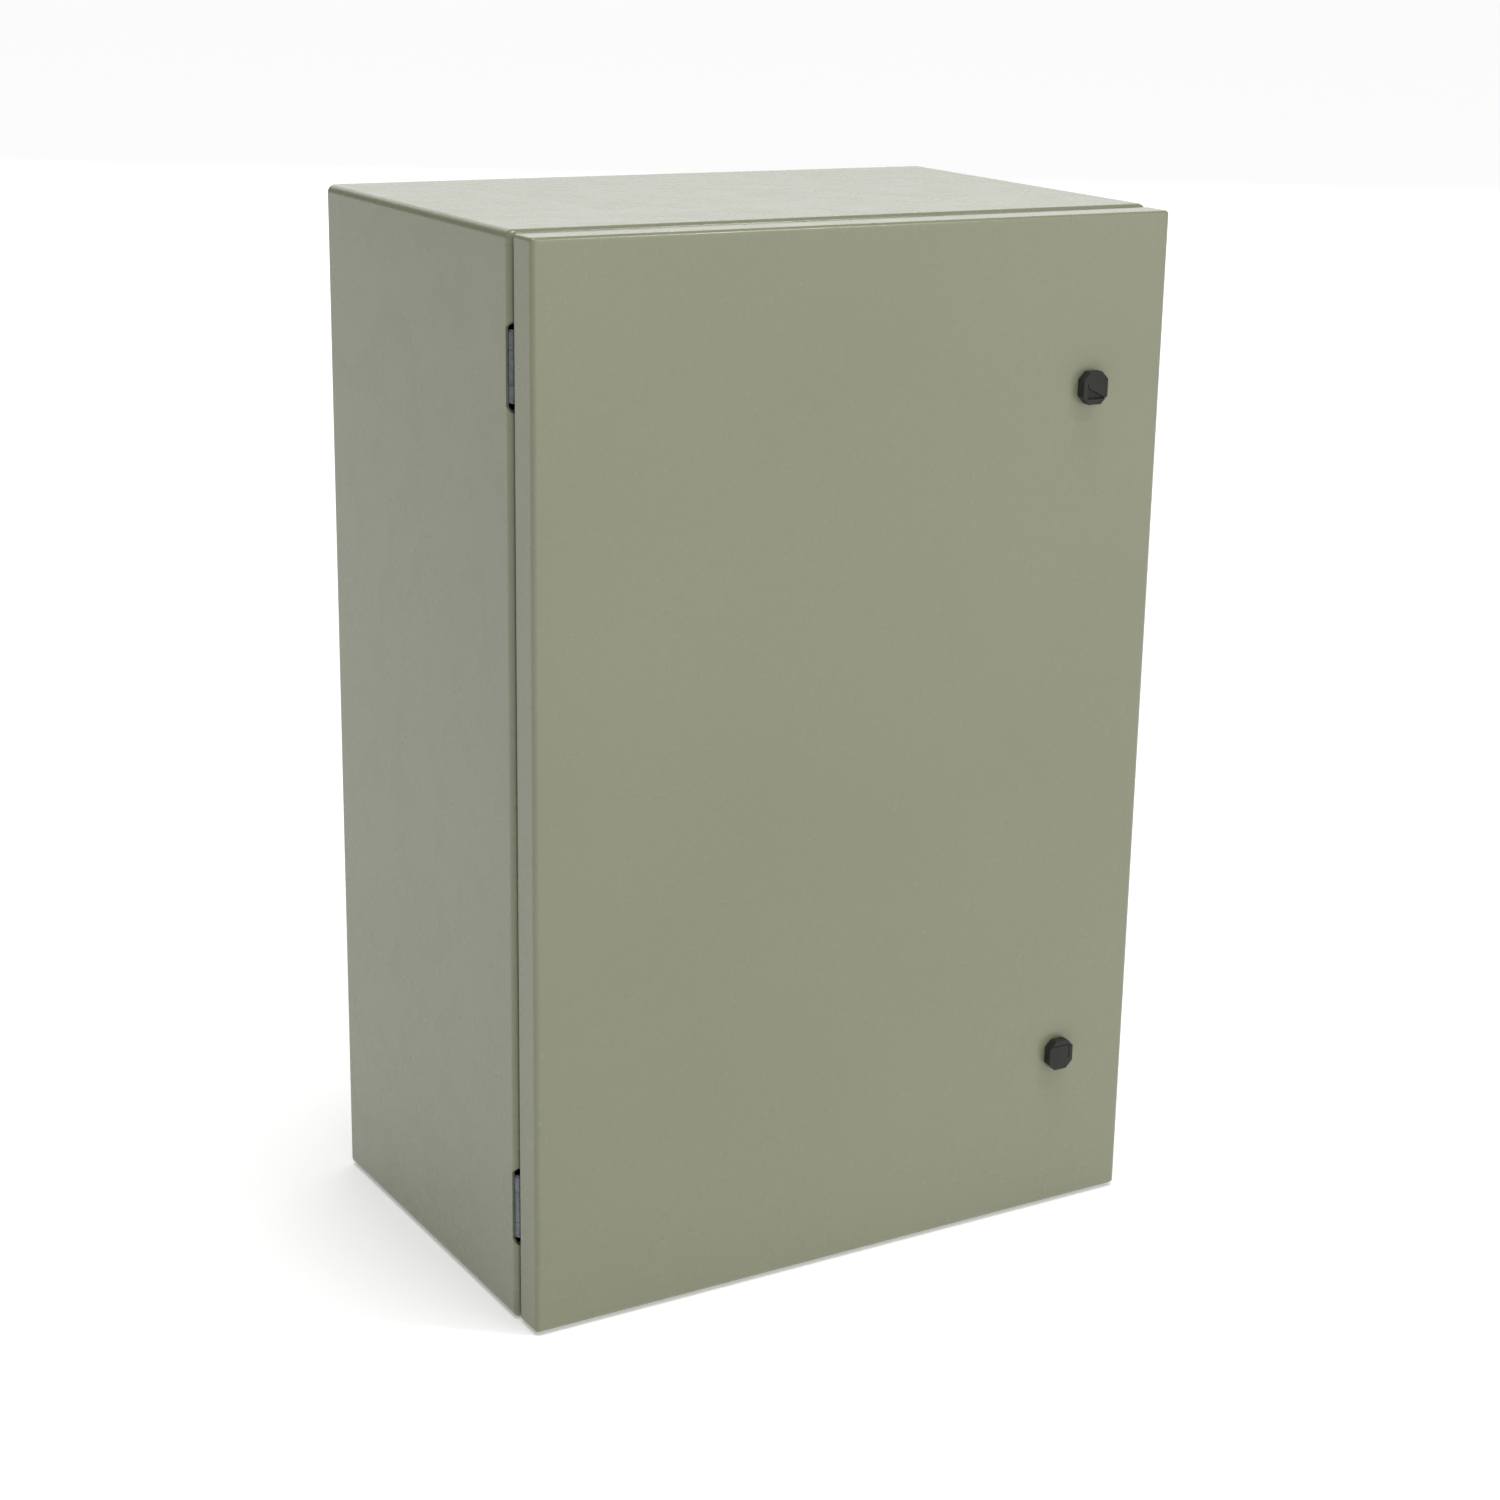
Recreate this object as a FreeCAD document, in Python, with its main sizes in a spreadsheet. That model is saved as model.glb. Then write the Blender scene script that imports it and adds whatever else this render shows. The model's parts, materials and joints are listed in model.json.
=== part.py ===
import FreeCAD, Part
import math
import os
import re

import Sketcher
from FreeCAD import Placement, Rotation, Vector

# A wall-standing steel switchboard enclosure with one blank hinged door and two quarter-turn locks.
# +X is to the right, +Z is up and the door faces -Y.  The origin is under the middle of the cabinet.
# Every body is drawn in depths: its local Y is 0 at the door's front face and grows to the rear.

# ---------------------------------------------------------------- driving sizes, in millimetres

SIZES = {
    # Cabinet shell
    "width": 400,
    "height": 600,
    "depth": 255,              # door face to rear face
    "wall": 1.5,               # sheet thickness of the shell, door and rear panel
    "corner_radius": 4.5,      # the four long edges
    "fold_radius": 3.5,        # outside of the fold round the front rim
    "rim_width": 13.5,         # side of the cabinet to the inner face of the rain lip
    "rim_gap": 3.5,            # edge of the door's return to the rim
    "weld_gap": 0.1,           # rear panel to the shell round it
    "wall_hole_inset": 20,
    "wall_hole_radius": 4.5,
    # Door
    "door_inset": 1.5,         # door edge behind the cabinet's side
    "door_depth": 19.5,        # door face to the edge of the returns
    "door_fold_radius": 2.8,
    "door_corner_radius": 1.8,
    "gasket_width": 12,
    "gasket_height": 5,
    "gasket_round": 1.5,
    "seal_gap": 0.3,           # gasket to the rain lip
    "rail_width": 20,
    "rail_depth": 12,
    "rail_edge": 40,           # cabinet side to the middle of the hinge-side rail
    "rail_lock_gap": 30,       # lock centre to the middle of the lock-side rail
    "rail_end": 45,            # cabinet top or bottom to the end of a rail
    "rail_hole_radius": 2.25,
    "rail_pitch": 25,
    "rail_first_hole": 17.5,
    # Hinges
    "hinge_end": 68.5,         # cabinet top or bottom to the middle of a hinge
    "hinge_length": 36,
    "hinge_radius": 2.2,
    "hinge_pin_radius": 1.25,
    "hinge_play": 0.05,        # pin to knuckle, on the radius
    "hinge_knuckle": 9,        # each of the two knuckles on the cabinet
    "hinge_knuckle_gap": 0.25,
    "hinge_set": 1.1,          # rim face to the hinge axis, which lies on the door leaf's outer face
    "hinge_leaf": 1.5,
    "hinge_leaf_reach": 18.5,
    "hinge_leaf_gap": 0.6,
    "hinge_slot": 47,
    "hinge_slot_width": 7,
    "hinge_slot_depth": 3.5,
    "pin_head_radius": 1.8,
    "pin_head": 1,
    "pin_tail": 0.5,
    # Mounting plate
    "plate_margin": 25,
    "plate_thick": 2,
    "plate_corner": 3,
    "plate_stand": 18,         # rear panel to the back of the plate
    "plate_hole_inset": 12.5,
    "plate_hole_gap": 0.5,
    "plate_stud_radius": 4,
    "plate_stud_spare": 4,
    "plate_spacer_radius": 7,
    "plate_washer_radius": 8,
    "plate_washer": 1.6,
    "plate_nut": 6.5,
    "plate_nut_flats": 13,
    # Cable entry in the floor
    "gland_width": 245,
    "gland_depth": 100,
    "gland_border": 20,
    "gland_corner": 5,
    "gland_gasket": 2,
    "gland_gasket_inset": 1,
    "gland_plate": 1.5,
    "gland_stud_radius": 2.5,
    "gland_hole_gap": 0.3,
    "gland_washer_radius": 5,
    "gland_washer": 1,
    "gland_nut": 4,
    "gland_nut_flats": 8,
    "gland_stud_spare": 2.5,
    # Earth studs
    "earth_edge": 30,
    "earth_back": 34,          # rim to the stud on the cabinet floor
    "door_earth_edge": 75,
    "door_earth_end": 60,
    "earth_stud_radius": 3,
    "earth_washer_radius": 6,
    "earth_washer": 1.2,
    "earth_nut": 5,
    "earth_nut_flats": 10,
    "earth_stud_spare": 8,
    "thread_gap": 0.05,        # nut or washer to its stud, on the radius
    # Quarter-turn locks
    "lock_edge": 52,           # cabinet side to a lock's centre
    "lock_top_end": 97.5,      # cabinet top to the upper lock's centre
    "lock_bottom_end": 99.5,   # cabinet bottom to the lower lock's centre
    "lock_width": 17,
    "lock_height": 18.6,
    "lock_chamfer": 4.5,
    "lock_seal": 0.8,
    "lock_seal_inset": 0.3,
    "lock_rim": 3.6,           # door face to the housing's front face
    "lock_stand": 6,           # door face to the dust cover's front face
    "lock_strip_side": 2.8,    # edge of the dust cover to its L-shaped groove
    "lock_strip_end": 3.1,      # lower edge of the dust cover to its groove
    "lock_strip_top": 2.6,
    "lock_floor": 2,           # door face to the floor of the rotor's seat
    "lock_bevel": 0.4,
    "lock_barrel_radius": 6.5,
    "lock_hole_gap": 0.2,
    "lock_key_width": 3,
    "lock_key": 1.2,
    "lock_barrel_gap": 0.2,    # barrel's end to the cam
    "lock_nut": 5,
    "lock_nut_flats": 17,
    "rotor_radius": 3.4,
    "rotor_flange_radius": 4.2,
    "rotor_flange": 1.1,
    "rotor_play": 0.06,
    "rotor_square": 5.4,
    "rotor_grip": 0.1,         # square end short of the cam's rear face
    "key_socket_radius": 2.8,
    "key_socket_depth": 7,
    "key_pin_radius": 1.2,
    "key_wing_width": 1,
    "key_wing_span": 4.4,
    "cam_gap": 0.5,            # rear of the rim to the cam
    "cam_thick": 3,
    "cam_width": 16,
    "cam_reach": 45,
    "cam_tip_width": 12,
    "cam_fit": 0.1,
    "cam_screw_radius": 2,
    "cam_screw_head_radius": 4.2,
    "cam_screw_head": 2.8,
    "cam_screw_length": 9,
    "cam_screw_slot": 1,
    "cover_gap": 0.15,
    "cover_groove_width": 0.45, # of the L cut in the dust cover
    "cover_groove": 0.5,
    "cover_floor": 0.65,       # left behind the finger recess in the upper lock's cover
    "cover_recess_top": 0.9,   # lock centre to the recess's upper corner
    "cover_recess_edge": 0.7,  # cover's right side to the recess's far corner
    "cover_bevel": 0.4,
    "cover_pivot_across": 4.7, # lock centre to the pin that the dust cover swings on
    "cover_pivot_up": 5.2,
    "cover_pin_radius": 0.8,
    "cover_pin_play": 0.05,
    "cover_pin_root": 1.2,     # door face to the blind end of the pin
    "cover_pin_head_radius": 1.4,
    "cover_pin_head": 0.45,
    "cover_pin_head_gap": 0.05,
}

# ---------------------------------------------------------------- places worked out from them

DERIVED = {
    "half": "width / 2",
    "face_y": "(lock_stand - depth) / 2",
    "rim_front": "door_depth + rim_gap",
    "rim_back": "rim_front + wall",
    "rear_inner": "depth - wall",
    "lip_front": "wall + gasket_height + seal_gap",
    "lip_outer": "rim_width - wall",
    "door_half": "half - door_inset",
    "gasket_line": "rim_width - wall / 2",
    "gasket_out": "gasket_line - gasket_width / 2",
    "gasket_in": "gasket_line + gasket_width / 2",
    "rail_length": "height - 2 * rail_end",
    "rail_holes": "floor((rail_length - 2 * rail_first_hole) / rail_pitch) + 1",
    "hinge_back": "rim_front + hinge_set",
    "hinge_x": "-half + door_inset + wall",
    "door_knuckle": "hinge_length - 2 * hinge_knuckle - 2 * hinge_knuckle_gap",
    "hinge_slot_back": "rim_front + hinge_slot_depth",
    "hinge_bore": "hinge_pin_radius + hinge_play",
    "plate_half": "half - plate_margin",
    "plate_top": "height - plate_margin",
    "plate_back": "rear_inner - plate_stand",
    "plate_front": "plate_back - plate_thick",
    "stud_half": "plate_half - plate_hole_inset",
    "stud_low": "plate_margin + plate_hole_inset",
    "stud_high": "plate_top - plate_hole_inset",
    "plate_stack": "plate_stand + plate_thick + plate_washer + plate_nut",
    "gland_middle": "(rim_back + rear_inner) / 2",
    "gland_x": "(gland_width + gland_border) / 2",
    "gland_y": "(gland_depth + gland_border) / 2",
    "gland_plate_low": "wall + gland_gasket",
    "gland_plate_top": "gland_plate_low + gland_plate",
    "gland_stack": "gland_gasket + gland_plate + gland_washer + gland_nut",
    "gland_hole": "gland_stud_radius + gland_hole_gap",
    "lock_x": "half - lock_edge",
    "lock_half": "lock_width / 2",
    "lock_top": "lock_height / 2",
    "cam_front": "rim_back + cam_gap",
    "cam_back": "cam_front + cam_thick",
    "barrel_end": "cam_front - lock_barrel_gap",
    "cover_back": "lock_rim + cover_gap",
    "cover_seat": "lock_stand - cover_pin_head - cover_pin_head_gap",
    "strip_inner": "-lock_half + lock_strip_side",
    "strip_upper": "-lock_top + lock_strip_end",
    "cover_bore": "cover_pin_radius + cover_pin_play",
    "rotor_bore": "rotor_radius + rotor_play",
    "rotor_seat": "rotor_flange_radius + rotor_play",
    "rotor_front": "lock_floor + rotor_flange + rotor_play",
}

doc = FreeCAD.newDocument("switchboard_cabinet")
sheet = doc.addObject("Spreadsheet::Sheet", "sizes")
for row, (alias, number) in enumerate(SIZES.items(), start=1):
    sheet.set(f"A{row}", alias)
    sheet.set(f"B{row}", str(number))
    sheet.setAlias(f"B{row}", alias)
doc.recompute()

NAME = re.compile(r"[a-z][a-z0-9_]*")


def formula(text):
    """Spell a sum of size names out as an expression on the sheet's cells."""
    def spell(match):
        word = match.group()
        if word in DERIVED:
            return "(" + formula(DERIVED[word]) + ")"
        return "sizes." + word if word in SIZES else word
    return NAME.sub(spell, text)


def value(text):
    """The number that a sum of size names stands for now."""
    return float(sheet.evalExpression(formula(text)))


def bind(thing, **properties):
    for name, text in properties.items():
        thing.setExpression(name, formula(text))


def place(thing, x, y, z, rotation=Rotation()):
    """Put an object's own origin at a place given by size names."""
    thing.Placement = Placement(Vector(value(x), value(y), value(z)), rotation)
    for axis, text in zip("xyz", (x, y, z)):
        thing.setExpression(f"Placement.Base.{axis}", formula(text))


# ---------------------------------------------------------------- sketches and features

# For each way to draw: the plane, and whether its normal runs with (1) or against (-1) the body's axis.
PLANES = {"front": ("XZ_Plane", -1), "floor": ("XY_Plane", 1), "side": ("YZ_Plane", 1)}
UPRIGHT = Rotation(Vector(1, 0, 0), 90)       # turns a solid drawn along +Z to point at the door's side
TURNED = Rotation(Vector(0, 1, 0), 180)


def tie(sketch, kind, geometry, point, text):
    number = sketch.addConstraint(Sketcher.Constraint(kind, -1, 1, geometry, point, value(text)))
    sketch.setExpression(f"Constraints[{number}]", formula(text))


def loop(*corners):
    """A closed outline with straight sides."""
    def draw(sketch):
        first = sketch.GeometryCount
        spots = [Vector(value(x), value(y), 0) for x, y in corners]
        for here, there in zip(spots, spots[1:] + spots[:1]):
            sketch.addGeometry(Part.LineSegment(here, there))
        for index, (x, y) in enumerate(corners):
            following = first + (index + 1) % len(corners)
            sketch.addConstraint(Sketcher.Constraint("Coincident", first + index, 2, following, 1))
            tie(sketch, "DistanceX", first + index, 1, x)
            tie(sketch, "DistanceY", first + index, 1, y)
    return draw


def rectangle(left, low, right, high):
    return loop((left, low), (right, low), (right, high), (left, high))


def rounded(left, low, right, high, radius):
    """A rectangle whose four corners are arcs of one radius."""
    inner_left = f"({left}) + ({radius})"
    inner_low = f"({low}) + ({radius})"
    inner_right = f"({right}) - ({radius})"
    inner_high = f"({high}) - ({radius})"
    sides = (
        ((inner_left, low), (inner_right, low)),
        ((right, inner_low), (right, inner_high)),
        ((inner_right, high), (inner_left, high)),
        ((left, inner_high), (left, inner_low)),
    )
    middles = ((inner_right, inner_low), (inner_right, inner_high), (inner_left, inner_high), (inner_left, inner_low))

    def draw(sketch):
        lines = []
        for ends in sides:
            spots = [Vector(value(x), value(y), 0) for x, y in ends]
            line = sketch.addGeometry(Part.LineSegment(*spots))
            for point, (x, y) in enumerate(ends, start=1):
                tie(sketch, "DistanceX", line, point, x)
                tie(sketch, "DistanceY", line, point, y)
            lines.append(line)
        for index, (x, y) in enumerate(middles):
            circle = Part.Circle(Vector(value(x), value(y), 0), Vector(0, 0, 1), value(radius))
            start = math.radians(90 * index - 90)
            arc = sketch.addGeometry(Part.ArcOfCircle(circle, start, start + math.pi / 2))
            following = lines[(index + 1) % len(lines)]
            sketch.addConstraint(Sketcher.Constraint("Coincident", lines[index], 2, arc, 1))
            sketch.addConstraint(Sketcher.Constraint("Coincident", arc, 2, following, 1))
            number = sketch.addConstraint(Sketcher.Constraint("Radius", arc, value(radius)))
            sketch.setExpression(f"Constraints[{number}]", formula(radius))
    return draw


def disc(x, y, radius):
    def draw(sketch):
        centre = Vector(value(x), value(y), 0)
        circle = sketch.addGeometry(Part.Circle(centre, Vector(0, 0, 1), value(radius)))
        tie(sketch, "DistanceX", circle, 3, x)
        tie(sketch, "DistanceY", circle, 3, y)
        number = sketch.addConstraint(Sketcher.Constraint("Radius", circle, value(radius)))
        sketch.setExpression(f"Constraints[{number}]", formula(radius))
    return draw


def new_body(label, x="0", y="face_y", z="0", rotation=Rotation()):
    body = doc.addObject("PartDesign::Body", label)
    body.Label = label
    place(body, x, y, z, rotation)
    return body


def extrude(body, kind, title, plane, shapes, start, end):
    """Pad or pocket outlines between two distances along the body's own axis."""
    role, side = PLANES[plane]
    sketch = body.newObject("Sketcher::SketchObject", title + "_sketch")
    origin_plane = next(item for item in body.Origin.OriginFeatures if item.Role == role)
    sketch.AttachmentSupport = [(origin_plane, "")]
    sketch.MapMode = "FlatFace"
    sketch.setExpression("AttachmentOffset.Base.z", formula(start if side > 0 else f"-({start})"))
    for draw in shapes:
        draw(sketch)
    before = body.Shape.Volume if body.Tip else 0
    feature = body.newObject("PartDesign::" + kind, title)
    feature.Profile = sketch
    feature.Reversed = (side < 0) == (kind == "Pad")
    bind(feature, Length=f"({end}) - ({start})")
    doc.recompute()
    change = body.Shape.Volume - before
    if (change <= 0) if kind == "Pad" else (change >= 0):
        raise RuntimeError(f"{body.Label}: {title} changed the volume by {change:.3f}")
    return feature


def pad(body, title, plane, shapes, start, end):
    return extrude(body, "Pad", title, plane, shapes, start, end)


def pocket(body, title, plane, shapes, start, end):
    return extrude(body, "Pocket", title, plane, shapes, start, end)


def edges_of(feature, wanted):
    return [f"Edge{i}" for i, edge in enumerate(feature.Shape.Edges, start=1) if wanted(edge)]


def lies_at(axis, text):
    """A test for edges that lie wholly at one distance along x, y or z."""
    level = value(text)
    return lambda edge: all(abs(getattr(v.Point, axis) - level) < 1e-4 for v in edge.Vertexes)


def runs_along(axis):
    def test(edge):
        if not isinstance(edge.Curve, (Part.Line, Part.LineSegment)):
            return False
        return abs(abs(getattr(edge.tangentAt(edge.FirstParameter), axis)) - 1) < 1e-6
    return test


def dress(body, kind, title, feature, wanted, text):
    """Fillet or chamfer the wanted edges of a body's last feature."""
    names = edges_of(feature, wanted)
    if not names:
        raise RuntimeError(f"{body.Label}: {title} finds no edge")
    dressed = body.newObject("PartDesign::" + kind, title)
    dressed.Base = (feature, names)
    bind(dressed, **{"Radius" if kind == "Fillet" else "Size": text})
    doc.recompute()
    return dressed


# ---------------------------------------------------------------- plain turned and boxed pieces


def cylinder(x, y, z, radius, length, rotation=Rotation()):
    solid = doc.addObject("Part::Cylinder", "turned")
    bind(solid, Radius=radius, Height=length)
    place(solid, x, y, z, rotation)
    return solid


def block(x, y, z, length, width, height):
    solid = doc.addObject("Part::Box", "block")
    bind(solid, Length=length, Width=width, Height=height)
    place(solid, x, y, z)
    return solid


def hexagon(x, y, z, flats, length, rotation=Rotation()):
    solid = doc.addObject("Part::Prism", "hexagon")
    solid.Polygon = 6
    bind(solid, Circumradius=f"({flats}) / sqrt(3)", Height=length)
    place(solid, x, y, z, rotation)
    return solid


def fuse(*solids):
    joined = doc.addObject("Part::MultiFuse", "joined")
    joined.Shapes = list(solids)
    return joined


def cut(base, *tools):
    remaining = base
    for tool in tools:
        step = doc.addObject("Part::Cut", "trimmed")
        step.Base = remaining
        step.Tool = tool
        remaining = step
    return remaining


def named(label, thing):
    thing.Label = label
    return thing


def ring(x, y, z, outer, inner, length, rotation=Rotation()):
    return cut(cylinder(x, y, z, outer, length, rotation), cylinder(x, y, z, inner, length, rotation))


def nut(x, y, z, flats, inner, length, rotation=Rotation()):
    return cut(hexagon(x, y, z, flats, length, rotation), cylinder(x, y, z, inner, length, rotation))


def group(label, pieces):
    """One node of separate, identical solids."""
    together = doc.addObject("Part::Compound", label)
    together.Links = pieces
    return named(label, together)


# ---------------------------------------------------------------- the cabinet's shell


def make_shell():
    body = new_body("body_wrapper")
    outline = rectangle("-half", "0", "half", "height")
    shape = pad(body, "shell_block", "front", [outline], "rim_front", "depth")
    shape = dress(body, "Fillet", "long_corners", shape, runs_along("y"), "corner_radius")
    shape = dress(body, "Fillet", "front_folds", shape, lies_at("y", "rim_front"), "fold_radius")
    inner = rounded("-half + wall", "wall", "half - wall", "height - wall", "corner_radius - wall")
    shape = pocket(body, "shell_hollow", "front", [inner], "rim_back", "depth")
    dress(body, "Fillet", "inner_folds", shape, lies_at("y", "rim_back"), "fold_radius - wall")
    opening = rectangle("-half + rim_width", "rim_width", "half - rim_width", "height - rim_width")
    pocket(body, "front_opening", "front", [opening], "rim_front - wall", "rim_back + wall")
    lip = rectangle("-half + lip_outer", "lip_outer", "half - lip_outer", "height - lip_outer")
    pad(body, "rain_lip", "front", [lip, opening], "lip_front", "rim_front")
    for name, middle in (("lower", "hinge_end"), ("upper", "height - hinge_end")):
        slot = loop(
            ("rim_front - wall", f"{middle} - hinge_slot / 2 - wall"),
            ("hinge_slot_back", f"{middle} - hinge_slot / 2 + hinge_slot_depth"),
            ("hinge_slot_back", f"{middle} + hinge_slot / 2 - hinge_slot_depth"),
            ("rim_front - wall", f"{middle} + hinge_slot / 2 + wall"),
        )
        pocket(body, name + "_hinge_slot", "side", [slot], "-half - wall", "-half + hinge_slot_width")
    cable_entry = rectangle(
        "-gland_width / 2",
        "gland_middle - gland_depth / 2",
        "gland_width / 2",
        "gland_middle + gland_depth / 2",
    )
    pocket(body, "cable_entry", "floor", [cable_entry], "-wall", "2 * wall")


def make_rear_panel():
    body = new_body("rear_panel")
    edge = "wall + weld_gap"
    outline = rectangle(f"-half + {edge}", edge, f"half - ({edge})", f"height - ({edge})")
    shape = pad(body, "rear_sheet", "front", [outline], "rear_inner", "depth")
    dress(body, "Fillet", "rear_corners", shape, runs_along("y"), "corner_radius - wall + weld_gap")
    holes = []
    for x in ("-half + wall_hole_inset", "half - wall_hole_inset"):
        for z in ("wall_hole_inset", "height - wall_hole_inset"):
            holes.append(disc(x, z, "wall_hole_radius"))
    pocket(body, "wall_holes", "front", holes, "rear_inner - wall", "depth + wall")


# ---------------------------------------------------------------- the door


def lock_places():
    """Name, height and turn of the two locks; the lower one is mounted the other way up."""
    return (("upper", "height - lock_top_end", 1), ("lower", "lock_bottom_end", -1))


def make_door():
    body = new_body("door_panel")
    outline = rectangle("-door_half", "door_inset", "door_half", "height - door_inset")
    shape = pad(body, "door_block", "front", [outline], "0", "door_depth")
    shape = dress(body, "Fillet", "door_corners", shape, runs_along("y"), "door_corner_radius")
    shape = dress(body, "Fillet", "door_folds", shape, lies_at("y", "0"), "door_fold_radius")
    inner = rectangle("-door_half + wall", "door_inset + wall", "door_half - wall", "height - door_inset - wall")
    shape = pocket(body, "door_hollow", "front", [inner], "wall", "door_depth")
    dress(body, "Fillet", "inner_folds", shape, lies_at("y", "wall"), "door_fold_radius - wall")
    for name, height, turn in lock_places():
        round_hole = disc("lock_x", height, "lock_barrel_radius + lock_hole_gap")
        pocket(body, name + "_lock_hole", "front", [round_hole], "-wall", "2 * wall")
        key_side = "lock_key_width / 2 + lock_hole_gap"
        key_end = f"{height} + {turn} * (lock_barrel_radius + lock_key + lock_hole_gap)"
        corners = sorted((height, key_end), key=value)
        slot = rectangle(f"lock_x - ({key_side})", corners[0], f"lock_x + ({key_side})", corners[1])
        pocket(body, name + "_lock_keyway", "front", [slot], "-wall", "2 * wall")


def make_gasket():
    body = new_body("door_gasket")
    outer = rectangle("-half + gasket_out", "gasket_out", "half - gasket_out", "height - gasket_out")
    inner = rectangle("-half + gasket_in", "gasket_in", "half - gasket_in", "height - gasket_in")
    shape = pad(body, "foam", "front", [outer, inner], "wall", "wall + gasket_height")
    dress(body, "Fillet", "foam_round", shape, lies_at("y", "wall + gasket_height"), "gasket_round")


def make_rail(label, middle):
    """A channel welded to the inside of the door by its two edges, with a row of round holes."""
    body = new_body(label, x=middle, z="rail_end")
    side = "rail_width / 2"
    inner_side = "rail_width / 2 - wall"
    web = "wall + rail_depth"
    channel = loop(
        (f"-{side}", "wall"),
        (f"-({inner_side})", "wall"),
        (f"-({inner_side})", f"{web} - wall"),
        (inner_side, f"{web} - wall"),
        (inner_side, "wall"),
        (side, "wall"),
        (side, web),
        (f"-{side}", web),
    )
    pad(body, "channel", "floor", [channel], "0", "rail_length")
    hole = disc("0", "rail_first_hole", "rail_hole_radius")
    first = pocket(body, "rail_hole", "front", [hole], f"{web} - 2 * wall", f"{web} + wall")
    row = body.newObject("PartDesign::LinearPattern", "rail_holes")
    row.Originals = [first]
    row.Direction = (first.Profile[0], ["V_Axis"])
    bind(row, Length="(rail_holes - 1) * rail_pitch", Occurrences="rail_holes")
    body.Tip = row


# ---------------------------------------------------------------- the hinges


def make_hinge(name, middle):
    low = f"{middle} - hinge_length / 2"
    bore = ("hinge_x", "face_y + hinge_back", low, "hinge_bore", "hinge_length")

    knuckles = []
    for start in (low, f"{middle} + hinge_length / 2 - hinge_knuckle"):
        knuckles.append(cylinder("hinge_x", "face_y + hinge_back", start, "hinge_radius", "hinge_knuckle"))
    leaf = block("-half + wall", "face_y + hinge_back", low, "hinge_leaf", "hinge_leaf_reach", "hinge_length")
    middle_gap = block(
        "-half",
        "face_y + rim_front",
        f"{low} + hinge_knuckle",
        "hinge_slot_width",
        "hinge_set + hinge_radius + hinge_leaf_gap",
        "hinge_length - 2 * hinge_knuckle",
    )
    cabinet_leaf = cut(fuse(cut(leaf, middle_gap), *knuckles), cylinder(*bore))
    named(f"{name}_hinge_cabinet_leaf", cabinet_leaf)

    knuckle_low = f"{middle} - door_knuckle / 2"
    door_knuckle = cylinder("hinge_x", "face_y + hinge_back", knuckle_low, "hinge_radius", "door_knuckle")
    tongue = block(
        "hinge_x",
        "face_y + hinge_back - hinge_radius - hinge_leaf_gap",
        knuckle_low,
        "hinge_leaf",
        "hinge_radius + hinge_leaf_gap",
        "door_knuckle",
    )
    plate = block(
        "hinge_x",
        "face_y + door_fold_radius",
        low,
        "hinge_leaf",
        "hinge_back - hinge_radius - hinge_leaf_gap - door_fold_radius",
        "hinge_length",
    )
    named(f"{name}_hinge_door_leaf", cut(fuse(plate, tongue, door_knuckle), cylinder(*bore)))

    shank = cylinder(
        "hinge_x",
        "face_y + hinge_back",
        f"{low} - pin_tail",
        "hinge_pin_radius",
        "hinge_length + pin_tail + pin_head",
    )
    head = cylinder(
        "hinge_x", "face_y + hinge_back", f"{low} + hinge_length", "pin_head_radius", "pin_head"
    )
    named(f"{name}_hinge_pin", fuse(shank, head))


# ---------------------------------------------------------------- the locks


def octagon(inset):
    side = f"(lock_half - {inset})"
    top = f"(lock_top - {inset})"
    flat_side = f"(lock_half - lock_chamfer)"
    flat_top = f"(lock_top - lock_chamfer)"
    return loop(
        (f"-{side}", f"-{flat_top}"),
        (f"-{flat_side}", f"-{top}"),
        (flat_side, f"-{top}"),
        (side, f"-{flat_top}"),
        (side, flat_top),
        (flat_side, top),
        (f"-{flat_side}", top),
        (f"-{side}", flat_top),
    )


def make_lock_housing(name, height, rotation):
    body = new_body(f"{name}_lock_housing", x="lock_x", z=height, rotation=rotation)
    shape = pad(body, "head", "front", [octagon("0")], "-lock_rim", "-lock_seal")
    dress(body, "Chamfer", "head_bevel", shape, lies_at("y", "-lock_rim"), "lock_bevel")
    pad(body, "barrel", "front", [disc("0", "0", "lock_barrel_radius")], "-lock_seal", "barrel_end")
    key = rectangle("-lock_key_width / 2", "0", "lock_key_width / 2", "lock_barrel_radius + lock_key")
    pad(body, "key", "front", [key], "-lock_seal", "wall")
    pocket(body, "rotor_seat", "front", [disc("0", "0", "rotor_seat")], "-lock_rim", "-lock_floor")
    pocket(body, "rotor_bore", "front", [disc("0", "0", "rotor_bore")], "-lock_rim", "barrel_end")
    pin_hole = disc("cover_pivot_across", "cover_pivot_up", "cover_pin_radius")
    pocket(body, "cover_pin_hole", "front", [pin_hole], "-lock_rim", "-cover_pin_root")


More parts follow.
